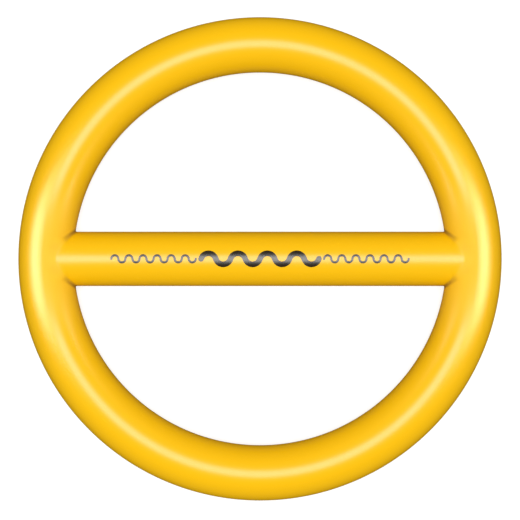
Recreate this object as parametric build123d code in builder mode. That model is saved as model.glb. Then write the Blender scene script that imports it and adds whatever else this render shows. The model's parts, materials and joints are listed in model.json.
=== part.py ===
from build123d import *
from math import degrees
import os

# A soft floating ring with a crossbar: foam tubes coated in vinyl, joined by plastic tees and a
# pipe. Millimetres. The ring lies flat, its axis along +Z and its crossbar along X. The origin is
# on the surface it lies on, at the ring's centre.

# Ring and crossbar
ring_radius = 246.25        # centreline of the ring's tube
tube_diameter = 63.5        # ring tube, over its coating
bar_diameter = 62.5         # crossbar, over its coating
coating = 1.5               # vinyl on ring and crossbar
bead_width = 2.5            # coating built up in the crease where the crossbar meets the ring
bead_fade = 0.5             # how far below ring and crossbar the bead's outline lies at the crest

# Plastic pipe through the crossbar; the bore of all the foam is the same size
pipe_diameter = 22.0
pipe_wall = 2.0

# Tees that join the crossbar to the ring
tee_wall = 2.5
arm_length = 60.0           # along the ring's centreline, from the tee's middle to an arm's end
branch_reach = 10.0         # from the ring's inside face to the shoulder that the pipe butts on
spigot_length = 30.0
spigot_wall = 2.0
spigot_clearance = 0.1      # all round, between spigot and pipe
spigot_chamfer = 0.8
barb_count = 3              # on each arm
barb_height = 1.2
barb_length = 8.0
barb_sink = 0.3             # how far a barb's thin end lies under the arm's surface
barb_pitch = 12.0
barb_end_gap = 3.0          # from the last barb's thin end to the arm's end

# Print on top of the crossbar: a bold wave between two fine ones
ink = 0.15                  # thickness of the film
bold_stroke = 6.5
bold_height = 19.0
bold_pitch = 33.5
bold_waves = 4
fine_stroke = 2.6
fine_height = 10.5
fine_pitch = 16.0
fine_waves = 6
print_gap = 6.0             # between the bold wave and a fine one

tube_radius = tube_diameter / 2
bar_radius = bar_diameter / 2
pipe_radius = pipe_diameter / 2
pipe_bore = pipe_radius - pipe_wall
spigot_radius = pipe_bore - spigot_clearance
mid_height = max(tube_radius, bar_radius)
shoulder = ring_radius - tube_radius - branch_reach

os.makedirs("parts", exist_ok=True)


def ring_solid(radius, arc=360.0, mode=Mode.ADD):
    """Solid round tube on the ring's centreline, from the +X side round towards +Y."""
    with BuildSketch(Plane.XZ) as section:
        with Locations((ring_radius, mid_height)):
            Circle(radius)
    revolve(section.sketch, axis=Axis.Z, revolution_arc=arc, mode=mode)


def bar_solid(radius, half_length, mode=Mode.ADD):
    """Solid round bar on the crossbar's line, centred on the ring's axis."""
    with BuildSketch(Plane.YZ) as section:
        with Locations((0, mid_height)):
            Circle(radius)
    extrude(section.sketch, amount=half_length, both=True, mode=mode)


def barbs(tee_bearing, mode=Mode.ADD):
    """Barbs on both arms of the tee that stands at this bearing, thin towards the arms' ends."""
    for arm in (-1, 1):
        for barb in range(barb_count):
            thick_end = arm_length - barb_end_gap - barb_length - barb * barb_pitch
            bearing = Rotation(0, 0, tee_bearing + arm * degrees(thick_end / ring_radius))
            along_arm = Location((ring_radius, 0, mid_height), (-90 * arm, 0, 0))
            with Locations(bearing * along_arm):
                Cone(
                    bottom_radius=pipe_radius + barb_height,
                    top_radius=pipe_radius - barb_sink,
                    height=barb_length,
                    align=(Align.CENTER, Align.CENTER, Align.MIN),
                    mode=mode,
                )


def save(part, name):
    part.label = name
    export_step(part, f"parts/{name}.step")


# Tees. The curved run lies in the ring's bore, barbed at both arms. The branch passes inwards
# through the ring's foam and coating, to a shoulder and a spigot for the pipe.
arm_angle = degrees(arm_length / ring_radius)
run_start = Plane.XZ.rotated((0, 0, -arm_angle))
branch_start = Plane(origin=(ring_radius, 0, mid_height), z_dir=(-1, 0, 0))
with BuildPart() as tee_right:
    with BuildSketch(run_start):
        with Locations((ring_radius, mid_height)):
            Circle(pipe_radius)
    revolve(axis=Axis.Z, revolution_arc=2 * arm_angle)
    barbs(tee_bearing=0)
    with BuildSketch(branch_start):
        Circle(pipe_radius)
    extrude(amount=ring_radius - shoulder)
    with BuildSketch(branch_start):
        Circle(spigot_radius)
    extrude(amount=ring_radius - shoulder + spigot_length)
    chamfer(tee_right.faces().sort_by(Axis.X)[0].edges(), spigot_chamfer)
    with BuildSketch(run_start):
        with Locations((ring_radius, mid_height)):
            Circle(pipe_radius - tee_wall)
    revolve(axis=Axis.Z, revolution_arc=2 * arm_angle, mode=Mode.SUBTRACT)
    with BuildSketch(branch_start):
        Circle(spigot_radius - spigot_wall)
    extrude(amount=ring_radius, mode=Mode.SUBTRACT)
save(tee_right.part, "tee_right")

with BuildPart() as tee_left:
    mirror(tee_right.part, about=Plane.YZ)
save(tee_left.part, "tee_left")

# Pipe through the crossbar, over both spigots and butted on both shoulders
with BuildPart() as crossbar_tube:
    bar_solid(pipe_radius, shoulder)
    bar_solid(pipe_bore, shoulder, mode=Mode.SUBTRACT)
save(crossbar_tube.part, "crossbar_tube")

# Ring foam: two half rings of foam tube, pushed over the tees' arms and butted on the line of the
# crossbar. Their bores take the arms and the barbs, and their ends are notched for the branches.
with BuildPart() as ring_foam_rear:
    ring_solid(tube_radius - coating, arc=180)
    ring_solid(pipe_radius, mode=Mode.SUBTRACT)
    barbs(tee_bearing=0, mode=Mode.SUBTRACT)
    barbs(tee_bearing=180, mode=Mode.SUBTRACT)
    bar_solid(pipe_radius, ring_radius, mode=Mode.SUBTRACT)
save(ring_foam_rear.part, "ring_foam_rear")

with BuildPart() as ring_foam_front:
    mirror(ring_foam_rear.part, about=Plane.XZ)
save(ring_foam_front.part, "ring_foam_front")

# Ring coating, open where the branches pass through it
with BuildPart() as ring_skin:
    ring_solid(tube_radius)
    ring_solid(tube_radius - coating, mode=Mode.SUBTRACT)
    bar_solid(pipe_radius, ring_radius, mode=Mode.SUBTRACT)
save(ring_skin.part, "ring_skin")

# Crossbar foam and coating, their ends cut to the saddle that sits on the ring
with BuildPart() as crossbar_foam:
    bar_solid(bar_radius - coating, ring_radius)
    bar_solid(pipe_radius, ring_radius, mode=Mode.SUBTRACT)
    ring_solid(tube_radius, mode=Mode.SUBTRACT)
save(crossbar_foam.part, "crossbar_foam")

with BuildPart() as crossbar_skin:
    bar_solid(bar_radius, ring_radius)
    bar_solid(bar_radius - coating, ring_radius, mode=Mode.SUBTRACT)
    ring_solid(tube_radius, mode=Mode.SUBTRACT)
save(crossbar_skin.part, "crossbar_skin")

# Beads of coating in the creases, one in front and one behind at each end of the crossbar. They
# thin out towards the crests, where the crossbar runs smoothly onto the ring.
with BuildPart() as beads:
    with BuildSketch(Plane.XZ):
        with Locations((ring_radius, mid_height)):
            Ellipse(tube_radius + bead_width, tube_radius - bead_fade)
    revolve(axis=Axis.Z)
    with BuildSketch(Plane.YZ):
        with Locations((0, mid_height)):
            Ellipse(bar_radius + bead_width, bar_radius - bead_fade)
    extrude(amount=ring_radius, both=True, mode=Mode.INTERSECT)
    ring_solid(tube_radius, mode=Mode.SUBTRACT)
    bar_solid(bar_radius, ring_radius, mode=Mode.SUBTRACT)

with BuildPart() as joint_bead_right:
    add(beads.part.solids().filter_by(lambda bead: bead.center().X > 0))
save(joint_bead_right.part, "joint_bead_right")

with BuildPart() as joint_bead_left:
    mirror(joint_bead_right.part, about=Plane.YZ)
save(joint_bead_left.part, "joint_bead_left")


def wave(start, stroke, height, pitch, waves):
    """One round-ended stroke that waves along X: arcs by turns above and below the middle."""
    swing = (height - stroke) / 2
    with BuildLine() as path:
        for crest in range(2 * waves):
            left = start + crest * pitch / 2
            peak = swing if crest % 2 == 0 else -swing
            ThreePointArc((left, 0), (left + pitch / 4, peak), (left + pitch / 2, 0))
    trace(path.line, line_width=stroke)
    with Locations(path.line @ 0, path.line @ 1):
        Circle(stroke / 2)


# Print, wrapped on the crossbar's crest
bold_length = bold_pitch * bold_waves
fine_length = fine_pitch * fine_waves
with BuildPart() as crossbar_print:
    with BuildSketch(Plane.XY.offset(mid_height)):
        wave(-bold_length / 2, bold_stroke, bold_height, bold_pitch, bold_waves)
        for start in (-bold_length / 2 - print_gap - fine_length, bold_length / 2 + print_gap):
            wave(start, fine_stroke, fine_height, fine_pitch, fine_waves)
    extrude(amount=bar_diameter)
    bar_solid(bar_radius + ink, ring_radius, mode=Mode.INTERSECT)
    bar_solid(bar_radius, ring_radius, mode=Mode.SUBTRACT)
save(crossbar_print.part, "crossbar_print")
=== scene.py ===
import bmesh
import bpy
import json
from math import asin, atan2, cos, pi, radians, sin, sqrt, tau
from mathutils import Matrix, Vector


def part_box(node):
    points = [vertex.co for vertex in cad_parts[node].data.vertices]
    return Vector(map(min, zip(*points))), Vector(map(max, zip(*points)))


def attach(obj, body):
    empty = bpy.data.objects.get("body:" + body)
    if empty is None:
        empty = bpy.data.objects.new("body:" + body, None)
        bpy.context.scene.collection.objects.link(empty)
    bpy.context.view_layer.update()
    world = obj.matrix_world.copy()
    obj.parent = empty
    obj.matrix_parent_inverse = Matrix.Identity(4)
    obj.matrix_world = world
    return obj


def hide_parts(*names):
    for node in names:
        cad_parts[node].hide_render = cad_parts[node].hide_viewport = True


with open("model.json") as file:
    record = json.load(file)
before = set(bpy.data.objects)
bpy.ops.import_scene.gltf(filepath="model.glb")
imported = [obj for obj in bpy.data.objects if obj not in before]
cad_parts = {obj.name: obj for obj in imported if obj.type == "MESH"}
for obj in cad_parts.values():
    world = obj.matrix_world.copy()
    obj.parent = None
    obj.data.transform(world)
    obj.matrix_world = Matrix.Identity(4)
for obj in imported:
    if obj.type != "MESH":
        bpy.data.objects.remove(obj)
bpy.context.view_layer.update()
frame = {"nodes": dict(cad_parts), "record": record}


# Ring coating: the vinyl skin of the ring. The foam ring is dipped until the skin is 1.5 mm thick
# and has no seam, so it flows smooth and dries to a satin gloss. The two tees' branches pass
# through a hole in it at each end of the crossbar, under the crossbar's own coating.
mounts = {mount["name"]: Vector(mount["pos_m"]) for mount in frame["record"]["mounts"]}
mid_height = mounts["crossbar_grip"].z
tube_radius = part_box("ring_skin")[1].z - mid_height
ring_radius = mounts["ring_rim"].x - tube_radius
bar_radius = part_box("crossbar_skin")[1].z - mid_height
coating = bar_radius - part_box("crossbar_foam")[1].y
pipe_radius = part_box("crossbar_tube")[1].y
ring_steps = 288
tube_sides = 64

yellow = (0.91, 0.505, 0.001)
deep_yellow = (0.87, 0.465, 0.001)
# painted shade colour for the crease between crossbar and ring
crease_shade_colour = (0.36, 0.17, 0.001)
vinyl_roughness = 0.28
vinyl_shine = 0.27              # how much of the light it mirrors, as the shader's specular level
flow_size = 0.16                # of the slow drift in colour left by the dip
mottle_size = 0.012
peel_size = 0.0016              # bumps of the orange peel, from one to the next
peel_height = 0.000012
# width of the painted shade in the crease
crease_shade_width = 0.005
brush_reach = 0.014             # of the duller coating brushed on the joint, from the ring's crest
brush_fade = 0.0012
brush_start = 0.012             # beside the crossbar's line, where the brushed coating starts to fade
brush_end = 0.100               # and where it ends
brush_dulling = 0.40
sharp_angle = radians(40)


class Value:
    """A number that varies over a surface. Arithmetic on it adds Math nodes to its finish."""

    def __init__(self, finish, socket):
        self.finish = finish
        self.socket = socket

    def math(self, operation, *others):
        inputs = dict(enumerate((self, *others)))
        node = self.finish.node("ShaderNodeMath", {"operation": operation}, inputs)
        return Value(self.finish, node.outputs[0])

    def __add__(self, other):
        return self.math("ADD", other)

    def __sub__(self, other):
        return self.math("SUBTRACT", other)

    def __mul__(self, other):
        return self.math("MULTIPLY", other)

    def __truediv__(self, other):
        return self.math("DIVIDE", other)

    def __pow__(self, other):
        return self.math("POWER", other)

    def __rsub__(self, other):
        return self * -1 + other

    __radd__ = __add__
    __rmul__ = __mul__


class Finish:
    """The nodes of one finish: a material's, or the studio's own."""

    def __init__(self, tree):
        self.tree = tree
        tree.nodes.clear()

    def node(self, kind, settings=None, inputs=None):
        """A node with its settings made first, then the values or links of its sockets."""
        node = self.tree.nodes.new(kind)
        for name, setting in (settings or {}).items():
            setattr(node, name, setting)
        for name, given in (inputs or {}).items():
            if isinstance(given, Value):
                self.tree.links.new(given.socket, node.inputs[name])
            elif isinstance(given, bpy.types.NodeSocket):
                self.tree.links.new(given, node.inputs[name])
            else:
                node.inputs[name].default_value = given
        return node

    def place(self):
        """Where a point of the surface is, in the shared frame, as three numbers."""
        point = self.node("ShaderNodeTexCoord").outputs["Object"]
        parts = self.node("ShaderNodeSeparateXYZ", inputs={0: point})
        return [Value(self, part) for part in parts.outputs]

    def noise(self, size, detail=2.0, stretch=(1, 1, 1)):
        """Even cloudy noise from 0 to 1, whose clouds are about this size in metres."""
        point = self.node("ShaderNodeTexCoord").outputs["Object"]
        point = self.node("ShaderNodeMapping", inputs={"Vector": point, "Scale": stretch})
        inputs = {"Vector": point.outputs[0], "Scale": 1 / size, "Detail": detail}
        return Value(self, self.node("ShaderNodeTexNoise", inputs=inputs).outputs[0])

    def fade(self, value, start, end):
        """0 where the value is at start, 1 where it is at end, and smooth between them."""
        settings = {"interpolation_type": "SMOOTHSTEP"}
        inputs = {0: value, 1: start, 2: end}
        return Value(self, self.node("ShaderNodeMapRange", settings, inputs).outputs[0])

    def blend(self, share, colour, other):
        """One colour where the share is 0 and the other where it is 1."""
        settings = {"data_type": "RGBA"}
        colours = [(*c, 1) if isinstance(c, tuple) else c for c in (colour, other)]
        inputs = {0: share, 6: colours[0], 7: colours[1]}
        return self.node("ShaderNodeMix", settings, inputs).outputs[2]

    def bump(self, height, rise):
        """The surface's direction where height 1 stands this many metres above height 0."""
        inputs = {"Height": height, "Distance": rise, "Strength": 1.0}
        return self.node("ShaderNodeBump", inputs=inputs).outputs[0]

    def surface(self, **inputs):
        """Plastic with these sockets set or linked, joined to the material's output."""
        inputs = {name.replace("_", " "): given for name, given in inputs.items()}
        skin = self.node("ShaderNodeBsdfPrincipled", inputs=inputs)
        self.node("ShaderNodeOutputMaterial", inputs={"Surface": skin.outputs[0]})


def new_finish(name):
    material = bpy.data.materials.new(name)
    material.use_nodes = True
    return material, Finish(material.node_tree)


def set_in_place(shape, name, material, slot, *nodes):
    """Makes a piece of the finished shape, which stands for these nodes of the model."""
    bmesh.ops.triangulate(shape, faces=[f for f in shape.faces if len(f.verts) > 4])
    mesh = bpy.data.meshes.new(name)
    shape.to_mesh(mesh)
    shape.free()
    mesh.shade_smooth()
    mesh.set_sharp_from_angle(angle=sharp_angle)
    mesh.materials.append(material)
    piece = bpy.data.objects.new(name, mesh)
    bpy.context.scene.collection.objects.link(piece)
    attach(piece, "root")
    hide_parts(*nodes)
    return piece


def saddle(side, height):
    """How far along the crossbar the ring's coating lies, at this offset from the bar's axis."""
    inward = sqrt(max(tube_radius**2 - height**2, 0))
    return sqrt((ring_radius - inward) ** 2 - side**2)


vinyl, finish = new_finish("yellow_vinyl")
x, y, z = finish.place()
height = z - mid_height
outward = (x**2 + y**2) ** 0.5
off_bar = ((y**2 + height**2) ** 0.5 - bar_radius).math("ABSOLUTE")
off_ring = (((outward - ring_radius) ** 2 + height**2) ** 0.5 - tube_radius).math("ABSOLUTE")

# Painted shade: the crease between crossbar and ring is darkened in the base colour, where shade
# falls, most of all at the crossbar's sides.
crease_shade = finish.fade(off_bar + off_ring, crease_shade_width, 0)
inside = finish.fade(outward, ring_radius, ring_radius - tube_radius / 2)
steepness = (y / bar_radius) ** 2
crease_shade = crease_shade * inside * steepness

# Where the coating is brushed on the joint it dries duller, up to a rounded edge on the crossbar.
inward = ring_radius - outward
brush_edge = (y**2 + brush_reach**2) ** 0.5
brushed = finish.fade(inward - brush_edge, brush_fade, -brush_fade)
brushed = brushed * finish.fade(inward, -4 * brush_fade, 0)
brushed = brushed * finish.fade(y.math("ABSOLUTE"), brush_end, brush_start)

flow = finish.noise(flow_size, detail=1.0)
mottle = finish.noise(mottle_size, detail=3.0)
colour = finish.blend(flow * 0.3 + mottle * 0.08, yellow, deep_yellow)
# painted shade: the crease is darkened towards the deep orange
colour = finish.blend(crease_shade, colour, crease_shade_colour)
peel = finish.noise(peel_size, detail=1.0)
finish.surface(
    Base_Color=colour,
    Roughness=mottle * 0.04 + crease_shade * 0.15 + brushed * brush_dulling + vinyl_roughness,
    Specular_IOR_Level=vinyl_shine,
    Normal=finish.bump(peel, peel_height),
)

shape = bmesh.new()
section = Matrix.Translation((ring_radius, 0, mid_height)) @ Matrix.Rotation(pi / 2, 4, "X")
bmesh.ops.create_circle(shape, segments=tube_sides, radius=tube_radius, matrix=section)
bmesh.ops.spin(
    shape,
    geom=shape.verts[:] + shape.edges[:],
    cent=(0, 0, 0),
    axis=(0, 0, 1),
    angle=tau,
    steps=ring_steps,
    use_merge=True,
)
bmesh.ops.remove_doubles(shape, verts=shape.verts, dist=1e-6)
bmesh.ops.recalc_face_normals(shape, faces=shape.faces)


def off_axis(point):
    """How far a point lies from the crossbar's axis."""
    return sqrt(point.y**2 + (point.z - mid_height) ** 2)


inner_faces = [f for f in shape.faces if f.calc_center_median().xy.length < ring_radius]
holes = [f for f in inner_faces if off_axis(f.calc_center_median()) < pipe_radius]
bmesh.ops.delete(shape, geom=holes, context="FACES")
for vert in {v for edge in shape.edges if edge.is_boundary for v in edge.verts}:
    out = pipe_radius / off_axis(vert.co)
    side = vert.co.y * out
    height = (vert.co.z - mid_height) * out
    along = saddle(side, height)
    vert.co = (along if vert.co.x > 0 else -along, side, mid_height + height)
bmesh.ops.solidify(shape, geom=shape.faces[:], thickness=coating)
ring_coating = set_in_place(shape, "ring_coating", vinyl, "vinyl", "ring_skin")


# Crossbar coating: the same dipped skin on the crossbar's straight foam tube. Each end is cut to
# the saddle that fits the ring, and lies on the ring's own coating.
bar_sides = 96
bar_spans = 48
straight = 0.2                  # from the middle to where the ends' saddles begin
end_margin = 0.0002             # within which a point counts as one of the ends'


def bar_sleeve(outer, inner, sides, spans):
    """A tube on the crossbar's line, in spans of equal length, its ends cut to the saddle."""
    shape = bmesh.new()
    start = Matrix.Translation((-straight, 0, mid_height)) @ Matrix.Rotation(pi / 2, 4, "Y")
    for radius in (outer, inner):
        bmesh.ops.create_circle(shape, segments=sides, radius=radius, matrix=start)
    rim = bmesh.ops.bridge_loops(shape, edges=shape.edges[:])["faces"]
    moved = bmesh.ops.extrude_face_region(shape, geom=rim)["geom"]
    moved = [v for v in moved if isinstance(v, bmesh.types.BMVert)]
    bmesh.ops.translate(shape, verts=moved, vec=(2 * straight, 0, 0))
    if spans > 1:
        along = [e for e in shape.edges if abs(e.verts[0].co.x - e.verts[1].co.x) > straight]
        bmesh.ops.subdivide_edges(shape, edges=along, cuts=spans - 1, use_grid_fill=True)
    for vert in (v for v in shape.verts if abs(v.co.x) > straight - end_margin):
        reach = saddle(vert.co.y, vert.co.z - mid_height)
        vert.co.x = reach if vert.co.x > 0 else -reach
    bmesh.ops.recalc_face_normals(shape, faces=shape.faces)
    return shape


shape = bar_sleeve(bar_radius, bar_radius - coating, bar_sides, bar_spans)
crossbar_coating = set_in_place(shape, "crossbar_coating", vinyl, "vinyl", "crossbar_skin")


# Joint beads: where the dipped crossbar meets the ring, coating gathers in the crease and rounds
# it off. Each bead runs all the way round its joint, narrow at the sides and soft at the crests.
side_round = 0.0013             # radius of the hollow at the sides of the crossbar
crest_round = 0.060             # and at its crests, where the crease is shallow
bead_steps = 144
bead_sides = 16
bead_sink = 0.00004             # how far the thin edges dip into the coatings


def bead_point(turn, share):
    """A point of the right bead: turn is round the crossbar, share from crossbar to ring.
    A share over 1 is the bead's back, which lies in the bottom of the crease."""
    if share > 1:
        side = bar_radius * sin(turn)
        height = bar_radius * cos(turn)
        return Vector((saddle(side, height), side, height + mid_height))
    hollow = side_round + (crest_round - side_round) * cos(turn) ** 8
    side = (bar_radius + hollow) * sin(turn)
    height = (bar_radius + hollow) * cos(turn)
    inward = sqrt((tube_radius + hollow) ** 2 - height**2)
    along = sqrt((ring_radius - inward) ** 2 - side**2)
    ball = Vector((along, side, height))
    tube_centre = Vector((along, side, 0)).normalized() * ring_radius
    to_bar = Vector((0, -side, -height)).normalized()
    to_ring = (tube_centre - ball).normalized()
    reach = hollow + (bead_sink if share in (0, 1) else 0)
    point = ball + to_bar.slerp(to_ring, share) * reach
    return point + Vector((0, 0, mid_height))


for name, end, node in (
    ("right_joint_bead", 1, "joint_bead_right"),
    ("left_joint_bead", -1, "joint_bead_left"),
):
    shape = bmesh.new()
    sides = shape.verts.layers.int.new("side")
    section = Matrix.Translation((0, 0, bar_radius)) @ Matrix.Rotation(pi / 2, 4, "X")
    loop = bmesh.ops.create_circle(
        shape, segments=bead_sides, radius=side_round, matrix=section
    )["verts"]
    for number, vert in enumerate(loop):
        vert[sides] = number
    bmesh.ops.spin(
        shape,
        geom=shape.verts[:] + shape.edges[:],
        cent=(0, 0, 0),
        axis=(1, 0, 0),
        angle=tau,
        steps=bead_steps,
        use_merge=True,
    )
    for vert in shape.verts:
        turn = atan2(vert.co.y, vert.co.z)
        share = vert[sides] / (bead_sides - 2)
        vert.co = bead_point(turn, share)
        vert.co.x *= end
    bmesh.ops.remove_doubles(shape, verts=shape.verts, dist=1e-7)
    bmesh.ops.recalc_face_normals(shape, faces=shape.faces)
    set_in_place(shape, name, vinyl, "bead", node)


# Printed waves: one line of near-black screen-print ink along the crossbar's crest, a bold wave
# between two fine ones. The film is laid on the coating, and is a little glossier than it.
ink = 0.00015
bold = {"stroke": 0.0065, "height": 0.019, "pitch": 0.0335, "waves": 4}
fine = {"stroke": 0.0026, "height": 0.0105, "pitch": 0.016, "waves": 6}
print_gap = 0.006
arc_steps = 14
ink_black = (0.014, 0.009, 0.002)
ink_worn = (0.024, 0.016, 0.004)
patch_size = 0.004
speck_size = 0.0007
speck_height = 0.000004

black_ink, finish = new_finish("black_ink")
patch = finish.noise(patch_size, detail=3.0)
speck = finish.noise(speck_size, detail=1.0)
finish.surface(
    Base_Color=finish.blend(patch, ink_black, ink_worn),
    Roughness=patch * 0.08 + 0.22,
    Specular_IOR_Level=0.35,
    Normal=finish.bump(speck, speck_height),
)


def print_wave(shape, start, stroke, height, pitch, waves):
    """A flat round-ended stroke that waves along X: arcs by turns above and below the middle."""
    swing = (height - stroke) / 2
    arc = ((pitch / 4) ** 2 + swing**2) / (2 * swing)
    sweep = 2 * asin(pitch / 4 / arc)
    across = Vector((-sin(sweep / 2), cos(sweep / 2), 0)) * stroke / 2
    verts = [shape.verts.new(Vector((start, 0, 0)) + across * k) for k in (-1, 0, 1)]
    edges = [shape.edges.new(pair) for pair in zip(verts, verts[1:])]
    end = verts + edges
    round_end(shape, end, start, 1)
    for half in range(2 * waves):
        left = start + half * pitch / 2
        rise = 1 if half % 2 == 0 else -1
        end = bmesh.ops.spin(
            shape,
            geom=end,
            cent=(left + pitch / 4, rise * (swing - arc), 0),
            axis=(0, 0, 1),
            angle=-rise * sweep,
            steps=arc_steps,
        )["geom_last"]
    round_end(shape, end, start + waves * pitch, -1)


def round_end(shape, end, middle, way):
    """Turns the upper half of a stroke's end edge through half a turn about its middle."""
    upper = [e for e in end if isinstance(e, bmesh.types.BMEdge)]
    upper = max(upper, key=lambda e: e.verts[0].co.y + e.verts[1].co.y)
    bmesh.ops.spin(
        shape,
        geom=[*upper.verts, upper],
        cent=(middle, 0, 0),
        axis=(0, 0, 1),
        angle=way * pi,
        steps=arc_steps,
    )


shape = bmesh.new()
bold_length = bold["pitch"] * bold["waves"]
fine_length = fine["pitch"] * fine["waves"]
print_wave(shape, -bold_length / 2, **bold)
print_wave(shape, -bold_length / 2 - print_gap - fine_length, **fine)
print_wave(shape, bold_length / 2 + print_gap, **fine)
bmesh.ops.remove_doubles(shape, verts=shape.verts, dist=1e-6)
bmesh.ops.subdivide_edges(shape, edges=shape.edges[:], cuts=1, use_grid_fill=True)
for vert in shape.verts:
    vert.co.z = mid_height + sqrt(bar_radius**2 - vert.co.y**2)
bmesh.ops.recalc_face_normals(shape, faces=shape.faces)
film = bmesh.ops.extrude_face_region(shape, geom=shape.faces[:])["geom"]
for vert in (v for v in film if isinstance(v, bmesh.types.BMVert)):
    vert.co += Vector((0, vert.co.y, vert.co.z - mid_height)).normalized() * ink
bmesh.ops.recalc_face_normals(shape, faces=shape.faces)
set_in_place(shape, "printed_waves", black_ink, "ink", "crossbar_print")


# Foam cores: closed-cell foam tube, cream, with a fine cell pattern. Two half rings are pushed
# over the tees' arms and butted on the crossbar's line, each end notched for a tee's branch. The
# crossbar's core is one straight length with saddle-cut ends.
foam_radius = tube_radius - coating
foam_sides = 48
cell = 0.0011
cell_depth = 0.00015
cloud_size = 0.02
cream = (0.80, 0.76, 0.62)
deep_cream = (0.66, 0.60, 0.44)

foam, finish = new_finish("cream_foam")
point = finish.node("ShaderNodeTexCoord").outputs["Object"]
cells = finish.node("ShaderNodeTexVoronoi", inputs={"Vector": point, "Scale": 1 / cell})
wall = Value(finish, cells.outputs["Distance"])
cloud = finish.noise(cloud_size, detail=2.0)
finish.surface(
    Base_Color=finish.blend(wall * 0.5 + cloud * 0.4, cream, deep_cream),
    Roughness=cloud * 0.1 + 0.78,
    Specular_IOR_Level=0.3,
    Normal=finish.bump(wall, cell_depth),
)


def foam_ring(shape, way):
    """Half a ring of foam tube, behind the crossbar's line or in front of it."""
    section = Matrix.Translation((ring_radius, 0, mid_height)) @ Matrix.Rotation(pi / 2, 4, "X")
    for radius in (foam_radius, pipe_radius):
        bmesh.ops.create_circle(shape, segments=foam_sides, radius=radius, matrix=section)
    bmesh.ops.bridge_loops(shape, edges=shape.edges[:])
    bmesh.ops.spin(
        shape,
        geom=shape.verts[:] + shape.edges[:] + shape.faces[:],
        cent=(0, 0, 0),
        axis=(0, 0, 1),
        angle=way * pi,
        steps=ring_steps // 2,
    )
    bmesh.ops.remove_doubles(shape, verts=shape.verts, dist=1e-6)
    bmesh.ops.recalc_face_normals(shape, faces=shape.faces)


def notched(shape):
    """The shape with a round hole along the crossbar's axis, cut by a boolean modifier."""
    meshes = [bpy.data.meshes.new("notch") for _ in range(2)]
    shape.to_mesh(meshes[0])
    drill = bmesh.new()
    bmesh.ops.create_cone(
        drill,
        cap_ends=True,
        segments=foam_sides,
        radius1=pipe_radius,
        radius2=pipe_radius,
        depth=2 * ring_radius,
        matrix=Matrix.Translation((0, 0, mid_height)) @ Matrix.Rotation(pi / 2, 4, "Y"),
    )
    drill.to_mesh(meshes[1])
    drill.free()
    core, cutter = [bpy.data.objects.new("notch", mesh) for mesh in meshes]
    for part in (core, cutter):
        bpy.context.scene.collection.objects.link(part)
    cut = core.modifiers.new("cut", "BOOLEAN")
    cut.object = cutter
    cut.operation = "DIFFERENCE"
    depsgraph = bpy.context.evaluated_depsgraph_get()
    shape.clear()
    shape.from_mesh(core.evaluated_get(depsgraph).to_mesh())
    for part, mesh in zip((core, cutter), meshes):
        bpy.data.objects.remove(part)
        bpy.data.meshes.remove(mesh)
    return shape


for name, way, node in (
    ("rear_ring_foam", 1, "ring_foam_rear"),
    ("front_ring_foam", -1, "ring_foam_front"),
):
    shape = bmesh.new()
    foam_ring(shape, way)
    set_in_place(notched(shape), name, foam, "foam", node)

shape = bar_sleeve(bar_radius - coating, pipe_radius, foam_sides, spans=1)
set_in_place(shape, "crossbar_core", foam, "foam", "crossbar_foam")


# Tees: two injection-moulded polypropylene fittings, black, with the fine matt grain of the mould.
# Their barbed arms are pushed into the bores of the half rings, and their spigots into the pipe.
black = (0.018, 0.018, 0.020)
faded_black = (0.030, 0.030, 0.032)
grain_size = 0.0006
grain_height = 0.00001
drift_size = 0.03
moulding, finish = new_finish("black_moulding")
grain = finish.noise(grain_size, detail=2.0)
drift = finish.noise(drift_size, detail=1.0)
finish.surface(
    Base_Color=finish.blend(drift, black, faded_black),
    Roughness=grain * 0.1 + drift * 0.08 + 0.42,
    Specular_IOR_Level=0.5,
    Normal=finish.bump(grain, grain_height),
)
for node in ("tee_right", "tee_left"):
    frame["nodes"][node].material_slots[0].material = moulding


# Pipe through the crossbar: extruded rigid plastic, off-white, with faint lines along its length.
# It is glued over both tees' spigots, and butts on their shoulders.
off_white = (0.80, 0.80, 0.76)
dull_white = (0.70, 0.70, 0.64)
line_size = 0.0012
line_stretch = (0.02, 1, 1)
line_depth = 0.00002
tint_size = 0.05
pipe, finish = new_finish("white_pipe")
lines = finish.noise(line_size, detail=2.0, stretch=line_stretch)
tint = finish.noise(tint_size, detail=1.0)
finish.surface(
    Base_Color=finish.blend(lines * 0.4 + tint * 0.4, off_white, dull_white),
    Roughness=lines * 0.12 + 0.32,
    Specular_IOR_Level=0.5,
    Normal=finish.bump(lines, line_depth),
)
frame["nodes"]["crossbar_tube"].material_slots[0].material = pipe


# Floor: a wide white light table that glows a little, so that shadows on it stay pale. It is
# kept out of the ring's reflections and light, so that the ring's sides stay deep in colour.
floor_radius = 14
glow = 0.75
pale_grey = (0.37, 0.37, 0.37)
grey = (0.35, 0.35, 0.35)
tone_size = 0.8
table, finish = new_finish("light_table")
tone = finish.noise(tone_size, detail=1.0)
finish.surface(
    Base_Color=finish.blend(tone, pale_grey, grey),
    Roughness=0.9,
    Specular_IOR_Level=0.0,
    Emission_Color=(1, 1, 1, 1),
    Emission_Strength=glow,
)
shape = bmesh.new()
bmesh.ops.create_circle(shape, cap_ends=True, segments=96, radius=floor_radius)
mesh = bpy.data.meshes.new("floor")
shape.to_mesh(mesh)
shape.free()
mesh.materials.append(table)
floor = bpy.data.objects.new("floor", mesh)
bpy.context.scene.collection.objects.link(floor)
floor.visible_glossy = False
floor.visible_diffuse = False


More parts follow.
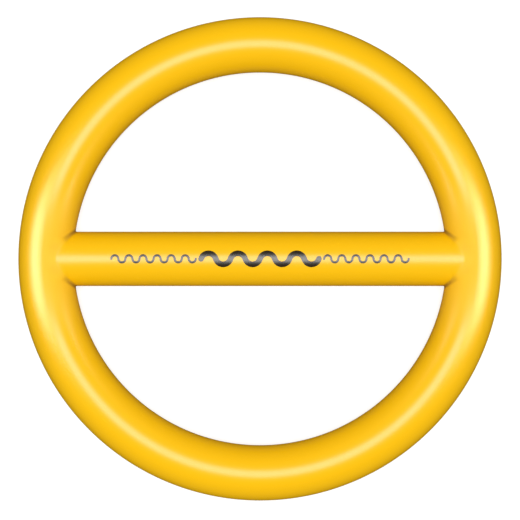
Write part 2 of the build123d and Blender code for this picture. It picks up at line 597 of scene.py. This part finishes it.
# Studio light: a round soft light far overhead, in a dim pale room whose walls look white to the
# camera. A gridded box beyond each side of the ring makes highlights only, and the room makes none.
overhead_light = 2.55
overhead_width = radians(28)
overhead_height = 3
box_light = 2.1
box_angle = radians(52)
box_distance = 0.54
box_length = 0.72
box_width = 0.34
box_spread = radians(64)
box_turn = radians(12)            # outward, away from the other side of the ring
room_light = 0.40


def hang(name, kind, energy, matrix):
    """A lamp of this kind, hung where the matrix says, shining along its own -Z."""
    lamp = bpy.data.objects.new(name, bpy.data.lights.new(name, kind))
    lamp.data.energy = energy
    lamp.matrix_world = matrix
    bpy.context.scene.collection.objects.link(lamp)
    return lamp


over_ring = Matrix.Translation((0, 0, overhead_height))
overhead = hang("overhead_light", "SUN", overhead_light, over_ring)
overhead.data.angle = overhead_width
for name, side in (("right_box", 1), ("left_box", -1)):
    aim = Matrix.Translation((side * ring_radius, 0, mid_height))
    aim = aim @ Matrix.Rotation(side * box_angle, 4, "Y")
    aim = aim @ Matrix.Translation((0, 0, box_distance))
    aim = aim @ Matrix.Rotation(-side * box_turn, 4, "Y")
    box = hang(name, "AREA", box_light, aim)
    box.visible_diffuse = False
    box.data.shape = "RECTANGLE"
    box.data.size = box_length
    box.data.size_y = box_width
    box.data.spread = box_spread

world = bpy.data.worlds.new("studio")
world.use_nodes = True
bpy.context.scene.world = world
world.cycles_visibility.glossy = False
studio = Finish(world.node_tree)
to_camera = studio.node("ShaderNodeLightPath").outputs["Is Camera Ray"]
walls = studio.blend(to_camera, (room_light,) * 3, (1, 1, 1))
background = studio.node("ShaderNodeBackground", inputs={"Color": walls, "Strength": 1.0})
studio.node("ShaderNodeOutputWorld", inputs={"Surface": background.outputs[0]})


# Camera: straight above the ring and looking down its axis, with the ring filling most of the
# picture. The colours go to the picture as they are, without a film curve.
camera_height = 2.5
ring_share = 0.929              # of the picture's width
lift = 0.0022                   # of the picture's width, the ring's middle above the picture's
sensor = 36
outline = 2 * (ring_radius + tube_radius)
camera = bpy.data.objects.new("camera", bpy.data.cameras.new("camera"))
camera.data.sensor_width = sensor
camera.data.lens = sensor * camera_height * ring_share / outline
camera.location = (0, -lift * outline / ring_share, mid_height + camera_height)
bpy.context.scene.collection.objects.link(camera)
bpy.context.scene.camera = camera
bpy.context.scene.view_settings.view_transform = "Standard"
